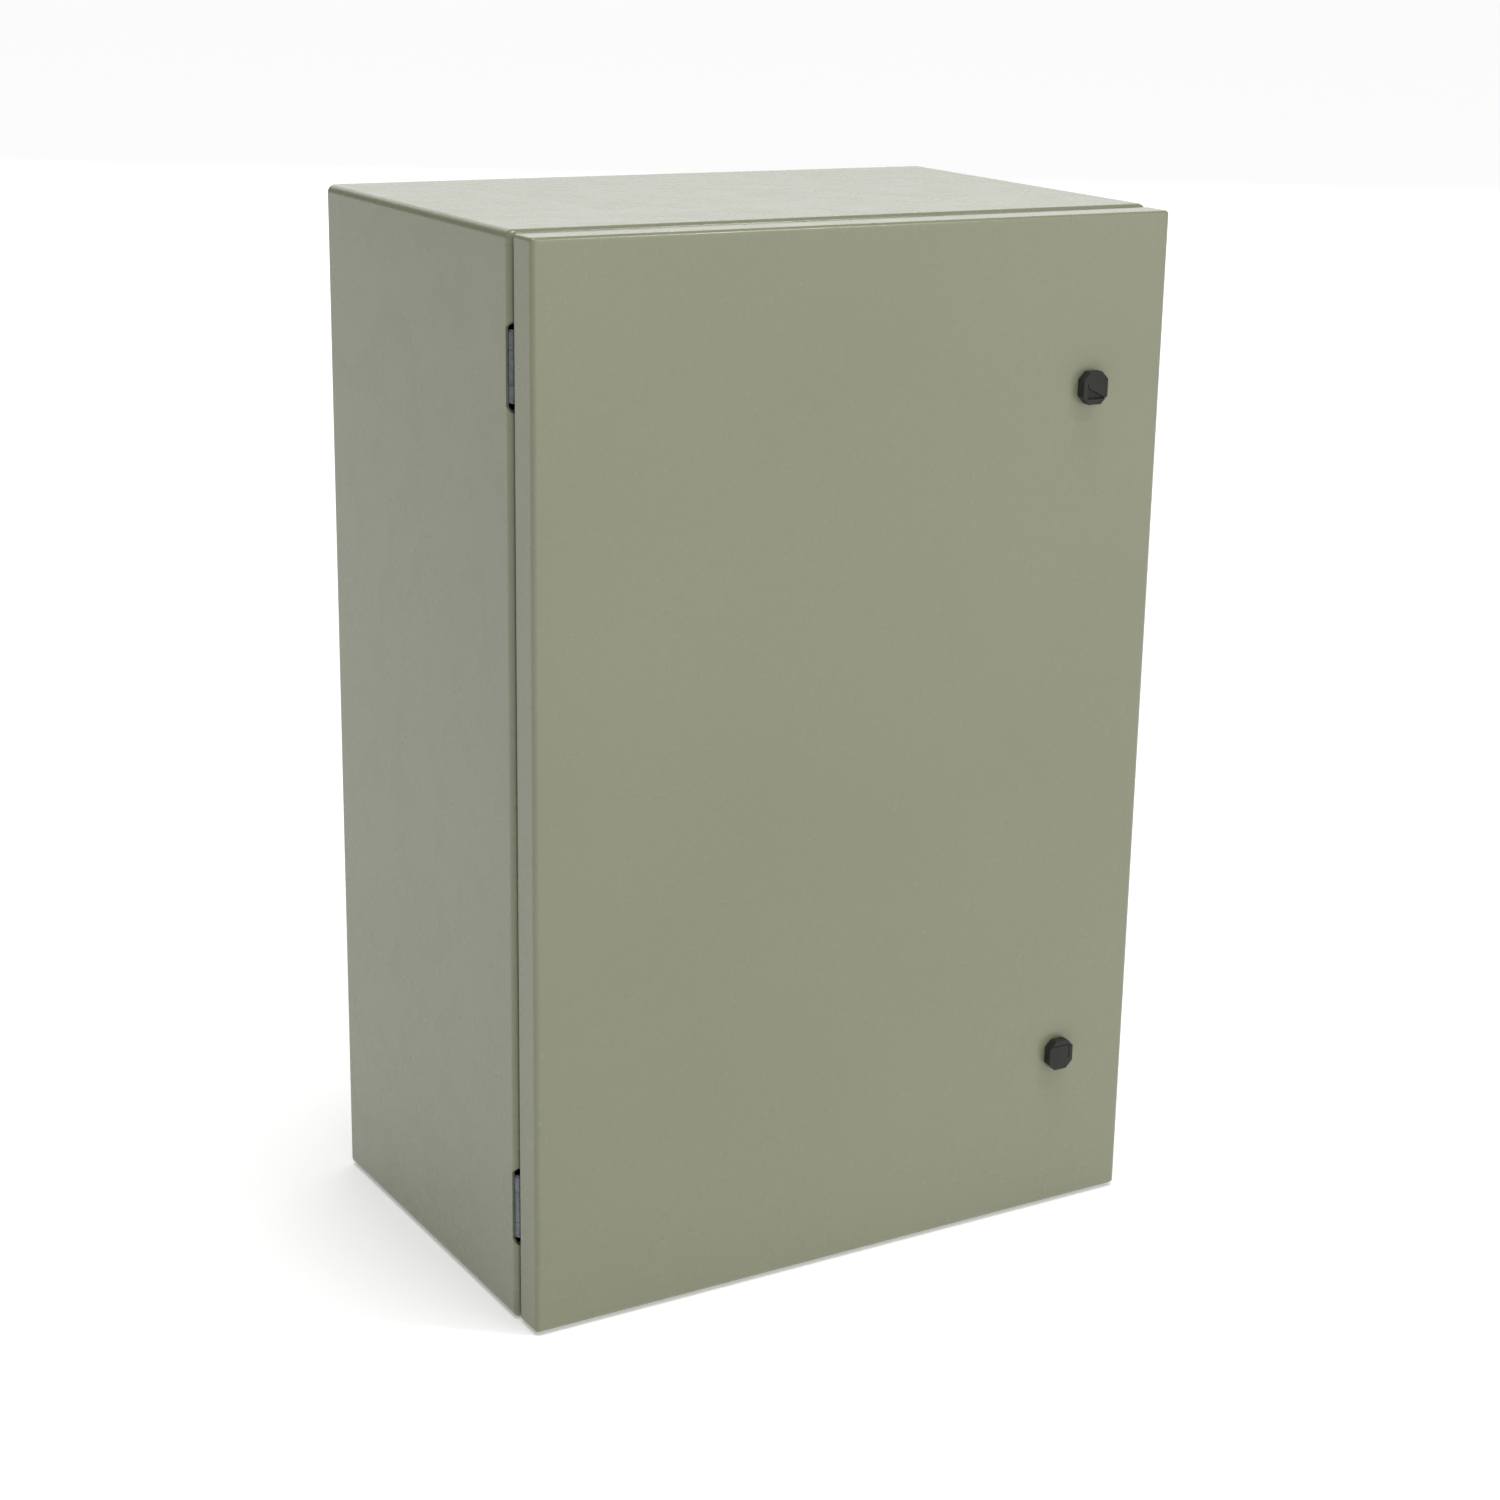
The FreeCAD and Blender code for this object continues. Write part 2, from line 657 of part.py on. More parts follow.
def make_lock_cover(name, height, rotation, recessed):
    body = new_body(f"{name}_lock_cover", x="lock_x", z=height, rotation=rotation)
    shape = pad(body, "plate", "front", [octagon("0")], "-lock_stand", "-cover_back")
    dress(body, "Chamfer", "bevel", shape, lies_at("y", "-lock_stand"), "cover_bevel")
    upright = rectangle("strip_inner", "strip_upper", "strip_inner + cover_groove_width", "lock_strip_top")
    pocket(body, "upright_groove", "front", [upright], "-lock_stand", "-lock_stand + cover_groove")
    level = rectangle(
        "strip_inner + cover_groove_width / 2",
        "strip_upper",
        "lock_half - cover_recess_edge",
        "strip_upper + cover_groove_width",
    )
    pocket(body, "level_groove", "front", [level], "-lock_stand", "-lock_stand + cover_groove")
    if recessed:
        recess = loop(
            ("strip_inner + cover_groove_width / 4", "cover_recess_top"),
            ("strip_inner + cover_groove_width / 4", "strip_upper + cover_groove_width / 4"),
            ("lock_half - cover_recess_edge", "strip_upper + cover_groove_width / 4"),
        )
        pocket(body, "finger_recess", "front", [recess], "-lock_stand", "-cover_back - cover_floor")
    pin_hole = disc("cover_pivot_across", "cover_pivot_up", "cover_bore")
    pocket(body, "pin_hole", "front", [pin_hole], "-lock_stand", "-cover_back")
    pin_seat = disc("cover_pivot_across", "cover_pivot_up", "cover_pin_head_radius + cover_pin_head_gap")
    pocket(body, "pin_seat", "front", [pin_seat], "-lock_stand", "-cover_seat")


def make_rotor(name, height, rotation):
    body = new_body(f"{name}_lock_rotor", x="lock_x", z=height, rotation=rotation)
    flange = disc("0", "0", "rotor_flange_radius")
    pad(body, "flange", "front", [flange], "-rotor_front", "-lock_floor - rotor_play")
    shank = disc("0", "0", "rotor_radius")
    pad(body, "shank", "front", [shank], "-lock_floor - rotor_play", "cam_front")
    half_square = "rotor_square / 2"
    square = rectangle(f"-{half_square}", f"-{half_square}", half_square, half_square)
    pad(body, "square", "front", [square], "cam_front", "cam_back - rotor_grip")
    socket_end = "key_socket_depth - rotor_front"
    socket = disc("0", "0", "key_socket_radius")
    pocket(body, "key_socket", "front", [socket], "-rotor_front", socket_end)
    wing = "key_wing_width / 2"
    span = "key_wing_span / 2"
    pad(body, "key_pin", "front", [disc("0", "0", "key_pin_radius")], "-rotor_front", socket_end)
    pad(body, "key_wings", "front", [rectangle(f"-{wing}", f"-{span}", wing, span)], "-rotor_front", socket_end)
    screw_hole = disc("0", "0", "cam_screw_radius + thread_gap")
    pocket(body, "screw_hole", "front", [screw_hole], "cam_back - cam_screw_length", "cam_back")


def make_cam(name, height):
    body = new_body(f"{name}_lock_cam", x="lock_x", z=height)
    half = "cam_width / 2"
    tip = "cam_tip_width / 2"
    taper = "-cam_reach + cam_width"
    arm = loop(
        (f"-{half}", half),
        (f"-{half}", taper),
        (f"-{tip}", "-cam_reach"),
        (tip, "-cam_reach"),
        (half, taper),
        (half, half),
    )
    shape = pad(body, "arm", "front", [arm], "cam_front", "cam_back")
    dress(body, "Fillet", "arm_corners", shape, runs_along("y"), "cam_thick")
    inner = "rotor_square / 2 + cam_fit"
    square = rectangle(f"-({inner})", f"-({inner})", inner, inner)
    pocket(body, "square_hole", "front", [square], "cam_front", "cam_back")


def make_cam_screw(name, height):
    body = new_body(f"{name}_lock_cam_screw", x="lock_x", z=height)
    head = disc("0", "0", "cam_screw_head_radius")
    shape = pad(body, "screw_head", "front", [head], "cam_back", "cam_back + cam_screw_head")
    rim = lies_at("y", "cam_back + cam_screw_head")
    dress(body, "Fillet", "head_round", shape, rim, "cam_screw_head / 2")
    shank = disc("0", "0", "cam_screw_radius")
    pad(body, "screw_shank", "front", [shank], "cam_back - cam_screw_length + cam_screw_slot", "cam_back")
    half_slot = "cam_screw_slot / 2"
    end = "cam_screw_head_radius"
    slot_floor = "cam_back + cam_screw_head - cam_screw_slot"
    driver_slot = rectangle(f"-{end}", f"-{half_slot}", end, half_slot)
    pocket(body, "driver_slot", "front", [driver_slot], slot_floor, "cam_back + cam_screw_head")


def make_lock_seal(name, height, rotation):
    body = new_body(f"{name}_lock_seal", x="lock_x", z=height, rotation=rotation)
    pad(body, "washer", "front", [octagon("lock_seal_inset")], "-lock_seal", "0")
    centre_hole = disc("0", "0", "lock_barrel_radius + lock_hole_gap")
    pocket(body, "barrel_hole", "front", [centre_hole], "-lock_seal", "0")
    key_half = "(lock_key_width / 2 + lock_hole_gap)"
    key_end = "lock_barrel_radius + lock_key + lock_hole_gap"
    keyway = rectangle(f"-{key_half}", "0", key_half, key_end)
    pocket(body, "keyway", "front", [keyway], "-lock_seal", "0")


def make_lock(name, height, turn):
    rotation = Rotation() if turn > 0 else TURNED
    make_lock_housing(name, height, rotation)
    make_lock_seal(name, height, rotation)
    make_lock_cover(name, height, rotation, turn > 0)
    make_rotor(name, height, rotation)
    make_cam(name, height)
    make_cam_screw(name, height)

    fixing_nut = nut(
        "lock_x",
        "face_y + wall + lock_nut",
        height,
        "lock_nut_flats",
        "lock_barrel_radius + thread_gap",
        "lock_nut",
        UPRIGHT,
    )
    named(f"{name}_lock_nut", fixing_nut)

    pin_x = f"lock_x + {turn} * cover_pivot_across"
    pin_z = f"{height} + {turn} * cover_pivot_up"
    shank_length = "lock_stand - cover_pin_root"
    head_y = "face_y - lock_stand + cover_pin_head"
    shank = cylinder(pin_x, "face_y - cover_pin_root", pin_z, "cover_pin_radius", shank_length, UPRIGHT)
    head = cylinder(pin_x, head_y, pin_z, "cover_pin_head_radius", "cover_pin_head", UPRIGHT)
    pin = fuse(shank, head)
    named(f"{name}_lock_cover_pin", pin)


# ---------------------------------------------------------------- inside the cabinet


def corner_pairs(across, low, high):
    return [(x, z) for x in (f"-({across})", across) for z in (low, high)]


def make_mounting_plate():
    body = new_body("mounting_plate")
    outline = rectangle("-plate_half", "plate_margin", "plate_half", "plate_top")
    shape = pad(body, "plate", "front", [outline], "plate_front", "plate_back")
    dress(body, "Fillet", "plate_corners", shape, runs_along("y"), "plate_corner")
    holes = []
    for x, z in corner_pairs("stud_half", "stud_low", "stud_high"):
        holes.append(disc(x, z, "plate_stud_radius + plate_hole_gap"))
    pocket(body, "plate_holes", "front", holes, "plate_front", "plate_back")

    studs = []
    spacers = []
    washers = []
    nuts = []
    clear = "plate_stud_radius + thread_gap"
    for x, z in corner_pairs("stud_half", "stud_low", "stud_high"):
        studs.append(cylinder(
            x, "face_y + rear_inner", z, "plate_stud_radius", "plate_stack + plate_stud_spare", UPRIGHT
        ))
        spacers.append(ring(
            x, "face_y + rear_inner", z, "plate_spacer_radius", clear, "plate_stand", UPRIGHT
        ))
        washers.append(ring(
            x, "face_y + plate_front", z, "plate_washer_radius", clear, "plate_washer", UPRIGHT
        ))
        nuts.append(nut(
            x, "face_y + plate_front - plate_washer", z, "plate_nut_flats", clear, "plate_nut", UPRIGHT
        ))
    group("mounting_plate_studs", studs)
    group("mounting_plate_spacers", spacers)
    group("mounting_plate_washers", washers)
    group("mounting_plate_nuts", nuts)


def make_cable_entry():
    spots = []
    for y in ("gland_middle - gland_y", "gland_middle + gland_y"):
        for x in ("-gland_x", "0", "gland_x"):
            spots.append((x, y))

    def border(edge):
        across = f"(gland_width / 2 + {edge})"
        along = f"(gland_depth / 2 + {edge})"
        return rectangle(f"-{across}", f"gland_middle - {along}", across, f"gland_middle + {along}")

    body = new_body("gland_plate")
    shape = pad(body, "gland_sheet", "floor", [border("gland_border")], "gland_plate_low", "gland_plate_top")
    dress(body, "Fillet", "gland_corners", shape, runs_along("z"), "gland_corner")
    holes = [disc(x, y, "gland_hole") for x, y in spots]
    pocket(body, "gland_holes", "floor", holes, "gland_plate_low", "gland_plate_top")

    body = new_body("gland_plate_gasket")
    shapes = [border("(gland_border - gland_gasket_inset)"), border("gland_gasket_inset")]
    pad(body, "gland_foam", "floor", shapes, "wall", "gland_plate_low")
    pocket(body, "gland_foam_holes", "floor", holes, "wall", "gland_plate_low")

    studs = []
    washers = []
    nuts = []
    clear = "gland_stud_radius + thread_gap"
    for x, y in spots:
        y = "face_y + " + y
        studs.append(cylinder(x, y, "wall", "gland_stud_radius", "gland_stack + gland_stud_spare"))
        washers.append(ring(x, y, "gland_plate_top", "gland_washer_radius", clear, "gland_washer"))
        nuts.append(nut(x, y, "gland_plate_top + gland_washer", "gland_nut_flats", clear, "gland_nut"))
    group("gland_plate_studs", studs)
    group("gland_plate_washers", washers)
    group("gland_plate_nuts", nuts)


def make_earth_stud(name, x, y, z, rotation):
    """A welded stud with a washer and a nut; y and z are moved along it by the caller's axis."""
    def along(distance):
        if rotation.isSame(Rotation(), 1e-6):
            return x, y, f"{z} + {distance}"
        return x, f"{y} + {distance}", z

    if rotation.isSame(Rotation(), 1e-6):
        starts = ("0", "0", "earth_washer")
    else:
        starts = ("earth_washer + earth_nut + earth_stud_spare", "earth_washer", "earth_washer + earth_nut")
    clear = "earth_stud_radius + thread_gap"
    stud_length = "earth_washer + earth_nut + earth_stud_spare"
    stud = cylinder(*along(starts[0]), "earth_stud_radius", stud_length, rotation)
    washer = ring(*along(starts[1]), "earth_washer_radius", clear, "earth_washer", rotation)
    earth_nut = nut(*along(starts[2]), "earth_nut_flats", clear, "earth_nut", rotation)
    named(f"{name}_earth_stud", stud)
    named(f"{name}_earth_washer", washer)
    named(f"{name}_earth_nut", earth_nut)


# ---------------------------------------------------------------- build, test and write

make_shell()
make_rear_panel()
make_door()
make_gasket()
make_rail("hinge_side_rail", "-half + rail_edge")
make_rail("lock_side_rail", "lock_x - rail_lock_gap")
make_hinge("upper", "height - hinge_end")
make_hinge("lower", "hinge_end")
for lock_name, lock_height, lock_turn in lock_places():
    make_lock(lock_name, lock_height, lock_turn)
make_mounting_plate()
make_cable_entry()
make_earth_stud("cabinet", "-half + earth_edge", "face_y + rim_back + earth_back", "wall", Rotation())
make_earth_stud("door", "-half + door_earth_edge", "face_y + wall", "door_earth_end", UPRIGHT)
doc.recompute()

for item in doc.Objects:
    if {"Invalid", "Error"} & set(item.State):
        raise RuntimeError(f"{item.Label} failed: {item.State}")

used = set()
for item in doc.Objects:
    for parent in item.InList:
        if parent.TypeId in ("Part::Cut", "Part::MultiFuse", "Part::Compound", "PartDesign::Body"):
            used.add(item.Name)
sub_parts = []
for item in doc.Objects:
    if item.isDerivedFrom("Part::Feature") and item.Name not in used:
        if not item.isDerivedFrom("Sketcher::SketchObject"):
            sub_parts.append(item)

os.makedirs("parts", exist_ok=True)
for part in sub_parts:
    if part.Shape.isNull() or not part.Shape.isValid():
        raise RuntimeError(f"{part.Label} has no valid shape")
for part in sub_parts:
    part.Shape.exportStep(f"parts/{part.Label}.step")
    print(part.Label, len(part.Shape.Solids), round(part.Shape.Volume, 1))
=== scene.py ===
import json
import math

import bmesh
import bpy
from mathutils import Matrix, Vector, noise


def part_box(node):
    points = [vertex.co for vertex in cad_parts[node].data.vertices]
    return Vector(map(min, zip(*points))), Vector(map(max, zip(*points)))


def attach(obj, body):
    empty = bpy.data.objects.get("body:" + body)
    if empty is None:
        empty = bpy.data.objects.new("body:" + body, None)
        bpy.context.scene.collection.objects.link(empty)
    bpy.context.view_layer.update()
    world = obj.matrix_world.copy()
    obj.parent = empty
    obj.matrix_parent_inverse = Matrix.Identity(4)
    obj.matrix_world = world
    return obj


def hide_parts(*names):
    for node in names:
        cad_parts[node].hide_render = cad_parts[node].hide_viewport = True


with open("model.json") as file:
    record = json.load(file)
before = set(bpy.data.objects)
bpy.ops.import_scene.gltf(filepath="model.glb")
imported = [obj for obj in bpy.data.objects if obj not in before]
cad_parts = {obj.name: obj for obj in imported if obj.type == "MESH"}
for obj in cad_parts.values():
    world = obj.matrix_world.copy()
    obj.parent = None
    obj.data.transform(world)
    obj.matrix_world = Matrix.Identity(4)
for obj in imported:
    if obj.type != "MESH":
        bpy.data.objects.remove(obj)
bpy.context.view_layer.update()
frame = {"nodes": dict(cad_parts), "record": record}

# Lengths are in metres and angles in degrees, unless a comment says otherwise.

# ---------------------------------------------------------------- camera

SENSOR = 36.0              # millimetres
IMAGE_SIDE = 1500
FOCAL_IN_IMAGE = 2843.8
AZIMUTH = -32.635
ELEVATION = 16.728
ROLL = 1.606
DISTANCE = 1.5724
AIM_RIGHT_OF_LEFT_SIDE = 0.1943
AIM_HEIGHT = 0.3118
SHIFT_RIGHT = -0.066
SHIFT_UP = -0.0015
CLIP_START = 0.05
CLIP_END = 50.0


def add_camera():
    azimuth, elevation, roll = (math.radians(a) for a in (AZIMUTH, ELEVATION, ROLL))
    back = Vector((
        math.sin(azimuth) * math.cos(elevation),
        -math.cos(azimuth) * math.cos(elevation),
        math.sin(elevation),
    ))
    right = (-back).cross(Vector((0, 0, 1))).normalized()
    up = right.cross(-back)
    rolled_right = math.cos(roll) * right + math.sin(roll) * up
    rolled_up = math.cos(roll) * up - math.sin(roll) * right
    left_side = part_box("body_wrapper")[0][0]
    door_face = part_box("door_panel")[0][1]
    aim = Vector((left_side + AIM_RIGHT_OF_LEFT_SIDE, door_face, AIM_HEIGHT))
    data = bpy.data.cameras.new("camera")
    data.sensor_width = SENSOR
    data.lens = FOCAL_IN_IMAGE / IMAGE_SIDE * SENSOR
    data.shift_x = SHIFT_RIGHT
    data.shift_y = SHIFT_UP
    data.clip_start = CLIP_START
    data.clip_end = CLIP_END
    camera = bpy.data.objects.new("camera", data)
    bpy.context.scene.collection.objects.link(camera)
    turn = Matrix((rolled_right, rolled_up, back)).transposed()
    camera.matrix_world = Matrix.Translation(aim + back * DISTANCE) @ turn.to_4x4()
    bpy.context.scene.camera = camera


# ---------------------------------------------------------------- light and floor

WHITE = (1, 1, 1)
SUN_POWER = 2.3            # a broad light from above
SUN_DISTANCE = 5
SUN_LEAN = 4.0             # that it leans towards the front
SUN_BREADTH = 30.0
WORLD_GLOW = 0.07
FLOOR_HALF = 60.0
FLOOR_GREY = 0.80
FLOOR_GLOW = 0.34          # keeps the floor white up to the horizon
FLOOR_ROUGHNESS = 0.95
FLOOR_SHINE = 0.1

# Each area light's place, aim, watts, colour and shape.
AREA_LIGHTS = {
    "edge_glint": (
        (0.99, -1.11, 2.2), (-0.14, -0.12, 0.6), 9.0, WHITE,
        {"shape": "DISK", "size": 0.12},
    ),
    "front_softbox": (
        (1.2, -3.0, 1.4), (0, -0.12, 0.3), 34.0, WHITE,
        {"shape": "RECTANGLE", "size": 3.2, "size_y": 2.4},
    ),
    "back_glow": (
        (2.6, 5.0, 2.6), (0, 0, 0.6), 115.0, WHITE,
        {"shape": "RECTANGLE", "size": 8.0, "size_y": 3.0},
    ),
    "side_fill": (
        (-2.4, -0.6, 1.0), (-0.2, 0, 0.35), 1.0, (0.72, 1.0, 0.30),
        {"shape": "RECTANGLE", "size": 1.2, "size_y": 1.4},
    ),
}


def add_light(kind, name, place, aim, power, colour, shape):
    data = bpy.data.lights.new(name, kind)
    data.energy = power
    data.color = colour
    for key, value in shape.items():
        setattr(data, key, value)
    light = bpy.data.objects.new(name, data)
    bpy.context.scene.collection.objects.link(light)
    light.location = place
    direction = Vector(aim) - Vector(place)
    light.rotation_euler = direction.to_track_quat("-Z", "Y").to_euler()


def add_studio():
    bpy.context.scene.view_settings.view_transform = "Standard"
    world = bpy.data.worlds.new("studio")
    world.use_nodes = True
    background = world.node_tree.nodes["Background"]
    background.inputs["Color"].default_value = (1, 1, 1, 1)
    background.inputs["Strength"].default_value = WORLD_GLOW
    bpy.context.scene.world = world
    lean = math.radians(SUN_LEAN)
    sun_place = (0, -SUN_DISTANCE * math.sin(lean), SUN_DISTANCE * math.cos(lean))
    breadth = {"angle": math.radians(SUN_BREADTH)}
    add_light("SUN", "sky_sun", sun_place, (0, 0, 0), SUN_POWER, WHITE, breadth)
    for name, values in AREA_LIGHTS.items():
        add_light("AREA", name, *values)


def add_floor():
    mesh = bpy.data.meshes.new("floor")
    half = FLOOR_HALF
    corners = [(-half, -half, 0), (half, -half, 0), (half, half, 0), (-half, half, 0)]
    mesh.from_pydata(corners, [], [(0, 1, 2, 3)])
    floor = bpy.data.objects.new("floor", mesh)
    bpy.context.scene.collection.objects.link(floor)
    material = bpy.data.materials.new("floor")
    material.use_nodes = True
    shader = material.node_tree.nodes["Principled BSDF"]
    shader.inputs["Base Color"].default_value = (FLOOR_GREY, FLOOR_GREY, FLOOR_GREY, 1)
    shader.inputs["Emission Color"].default_value = (1, 1, 1, 1)
    shader.inputs["Emission Strength"].default_value = FLOOR_GLOW
    shader.inputs["Roughness"].default_value = FLOOR_ROUGHNESS
    shader.inputs["Specular IOR Level"].default_value = FLOOR_SHINE
    mesh.materials.append(material)


# ---------------------------------------------------------------- materials


class Material:
    """A short way to add linked nodes to one material."""

    def __init__(self, name):
        self.data = bpy.data.materials.new(name)
        self.data.use_nodes = True
        self.tree = self.data.node_tree
        self.shader = self.tree.nodes["Principled BSDF"]
        coordinates = self.tree.nodes.new("ShaderNodeTexCoord")
        self.place = coordinates.outputs["Object"]

    def node(self, kind, **inputs):
        node = self.tree.nodes.new("ShaderNode" + kind)
        self.feed(node, inputs)
        return node

    def feed(self, node, inputs):
        """Links or sets each named input of a node."""
        for name, value in inputs.items():
            socket = node.inputs[name.replace("_", " ")]
            if isinstance(value, bpy.types.NodeSocket):
                self.tree.links.new(value, socket)
            else:
                socket.default_value = value

    def noise(self, scale, detail, roughness=0.5):
        inputs = {"Vector": self.place, "Scale": scale, "Detail": detail, "Roughness": roughness}
        return self.node("TexNoise", **inputs).outputs["Fac"]

    def cells(self, scale):
        return self.node("TexVoronoi", Vector=self.place, Scale=scale).outputs

    def ramp(self, source, *stops):
        """Colours (or grey numbers) at places along 0..1."""
        ramp = self.node("ValToRGB", Fac=source)
        elements = ramp.color_ramp.elements
        for index, (position, colour) in enumerate(stops):
            element = elements[index] if index < 2 else elements.new(position)
            element.position = position
            grey = isinstance(colour, float)
            element.color = (colour, colour, colour, 1) if grey else (*colour, 1)
        return ramp.outputs["Color"]

    def bump(self, height, depth, strength, under=None):
        inputs = {"Height": height, "Distance": depth, "Strength": strength}
        if under:
            inputs["Normal"] = under
        return self.node("Bump", **inputs).outputs["Normal"]

    def finished(self, **inputs):
        self.feed(self.shader, inputs)
        return self.data


def linear(red, green, blue):
    """An 8-bit screen colour as linear numbers."""
    def one(channel):
        share = channel / 255
        return share / 12.92 if share <= 0.04045 else ((share + 0.055) / 1.055) ** 2.4
    return tuple(one(channel) for channel in (red, green, blue))


def powder_coat():
    paint = Material("powder_coat")
    cloud = paint.noise(5.0, 2.0)
    colour = paint.ramp(cloud, (0.3, linear(136, 138, 114)), (0.7, linear(139, 141, 117)))
    peel = paint.noise(430.0, 1.5, 0.4)
    grain = paint.noise(2200.0, 1.0)
    normal = paint.bump(peel, 0.00003, 0.6)
    normal = paint.bump(grain, 0.00001, 0.4, under=normal)
    gloss = paint.ramp(paint.noise(35.0, 3.0), (0.3, 0.24), (0.7, 0.30))
    return paint.finished(Base_Color=colour, Roughness=gloss, Normal=normal)


def steel(name, low, high, roughness_low, roughness_high, spangle):
    """Zinc on steel, with crystals of which spangle fit in a metre."""
    metal = Material(name)
    patch = metal.ramp(metal.cells(spangle)["Color"], (0.0, low), (1.0, high))
    gloss = metal.ramp(metal.noise(90.0, 4.0), (0.3, roughness_low), (0.7, roughness_high))
    normal = metal.bump(metal.noise(900.0, 2.0), 0.00002, 0.3)
    return metal.finished(Base_Color=patch, Metallic=1.0, Roughness=gloss, Normal=normal)


def black_plastic():
    plastic = Material("black_plastic")
    cloud = plastic.noise(60.0, 3.0)
    colour = plastic.ramp(cloud, (0.3, (0.022, 0.022, 0.020)), (0.7, (0.030, 0.030, 0.027)))
    normal = plastic.bump(plastic.noise(3500.0, 2.0), 0.00003, 0.6)
    gloss = plastic.ramp(plastic.noise(300.0, 2.0), (0.3, 0.42), (0.7, 0.52))
    return plastic.finished(Base_Color=colour, Roughness=gloss, Normal=normal, Specular_IOR_Level=0.22)


def foam():
    skin = Material("foam_seal")
    cloud = skin.noise(40.0, 4.0)
    colour = skin.ramp(cloud, (0.3, (0.030, 0.030, 0.030)), (0.7, (0.050, 0.050, 0.049)))
    normal = skin.bump(skin.cells(1600.0)["Distance"], 0.00008, 0.6)
    gloss = skin.ramp(skin.noise(120.0, 3.0), (0.3, 0.62), (0.7, 0.78))
    return skin.finished(Base_Color=colour, Roughness=gloss, Normal=normal)


def finishes():
    return {
        "powder_coat": powder_coat(),
        "galvanised_sheet": steel(
            "galvanised_sheet", (0.42, 0.44, 0.45), (0.56, 0.58, 0.60), 0.32, 0.46, 70.0,
        ),
        # zinc_plated_steel: the zinc's own blue-grey tone, with its base colours darkened as painted
        # shade that stands for the shade on the hinges deep in their slots; the studs and nuts carry the
        # same painted shade
        "zinc_plated_steel": steel(
            "zinc_plated_steel", (0.11, 0.125, 0.14), (0.17, 0.19, 0.21), 0.40, 0.52, 400.0,
        ),
        "black_plastic": black_plastic(),
        "foam_seal": foam(),
    }


def paint_nodes(slots):
    for entry in frame["record"]["subparts"]:
        node = frame["nodes"][entry["node"]]
        node.data.materials.clear()
        node.data.materials.append(slots[entry["material_slot"]])


# ---------------------------------------------------------------- pieces in place of plain CAD ones

STUD_SIDES = 24
STUD_ROWS_IN_A_TURN = 6
THREAD_DEPTH = 0.6         # of the pitch
STUD_CHAMFER = 1.1         # of the thread's depth

NUT_SIDES = 72
NUT_LAND = 0.93            # end face's radius as a share of half the width across flats
NUT_CHAMFER = 30
BORE_CHAMFER = 0.0004

BEAD_WIDTH = 0.012
BEAD_CORNER = 0.010
BEAD_ARC_STEPS = 8
BEAD_STEP = 0.004
BEAD_POINTS = 13           # across one section

SHARP_EDGE = 50            # edges of a seal that are rounded
GLAND_SEAL_ROUNDING = 0.0005
LOCK_SEAL_ROUNDING = 0.00015
LOCK_NUT = (0.017, 0.00655)

# Studs and their nuts: the axis that they point along, the pitch, then the nut's width across flats
# and the radius of its bore.
FASTENERS = (
    ("mounting_plate_studs", "mounting_plate_nuts", 1, 0.00125, (0.013, 0.00405)),
    ("gland_plate_studs", "gland_plate_nuts", 2, 0.0008, (0.008, 0.00255)),
    ("cabinet_earth_stud", "cabinet_earth_nut", 2, 0.001, (0.010, 0.00305)),
    ("door_earth_stud", "door_earth_nut", 1, 0.001, (0.010, 0.00305)),
)


def body_with(node):
    bodies = frame["record"]["behaviour"]["bodies"]
    return next(name for name, nodes in bodies.items() if node in nodes)


def add_piece(name, mesh, slots, slot, node, smooth):
    """A detailed piece that stands for one CAD node, with edges under smooth degrees shaded round."""
    piece = bpy.data.objects.new(name, mesh)
    bpy.context.scene.collection.objects.link(piece)
    mesh.materials.clear()
    mesh.materials.append(slots[slot])
    mesh.shade_smooth()
    mesh.set_sharp_from_angle(angle=math.radians(smooth))
    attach(piece, body_with(node))
    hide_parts(node)


def islands(node):
    """The (lowest corner, highest corner) of each separate solid in a CAD node."""
    mesh = frame["nodes"][node].data
    parent = list(range(len(mesh.vertices)))

    def top(i):
        while parent[i] != i:
            parent[i] = parent[parent[i]]
            i = parent[i]
        return i

    for edge in mesh.edges:
        parent[top(edge.vertices[0])] = top(edge.vertices[1])
    for first, second in doubles(mesh):
        parent[top(first)] = top(second)
    corners = {}
    for vertex in mesh.vertices:
        low, high = corners.setdefault(top(vertex.index), (Vector(vertex.co), Vector(vertex.co)))
        for axis in range(3):
            low[axis] = min(low[axis], vertex.co[axis])
            high[axis] = max(high[axis], vertex.co[axis])
    return list(corners.values())


def doubles(mesh):
    """Pairs of vertices that lie at one place."""
    seen = {}
    for vertex in mesh.vertices:
        first = seen.setdefault(tuple(round(c, 7) for c in vertex.co), vertex.index)
        if first != vertex.index:
            yield first, vertex.index


def lathe(rows, columns, corner, verts, faces, closed=False):
    """Adds a grid: rows of rings, with corner(row, column) giving each point."""
    start = len(verts)
    for row in range(rows):
        verts.extend(corner(row, column) for column in range(columns))
    for row in range(rows if closed else rows - 1):
        following = (row + 1) % rows
        for column in range(columns):
            side = (column + 1) % columns
            faces.append((
                start + row * columns + column,
                start + row * columns + side,
                start + following * columns + side,
                start + following * columns + column,
            ))
    if not closed:
        faces.append(tuple(start + column for column in reversed(range(columns))))
        faces.append(tuple(start + (rows - 1) * columns + column for column in range(columns)))


def along(axis, low, high):
    """A function that puts (across, up, along) at an island's middle, with its length along one axis."""
    middle = (low + high) / 2
    first, second = (index for index in range(3) if index != axis)

    def put(across, up, far):
        point = Vector(middle)
        point[first] += across
        point[second] += up
        point[axis] = far
        return point
    return put


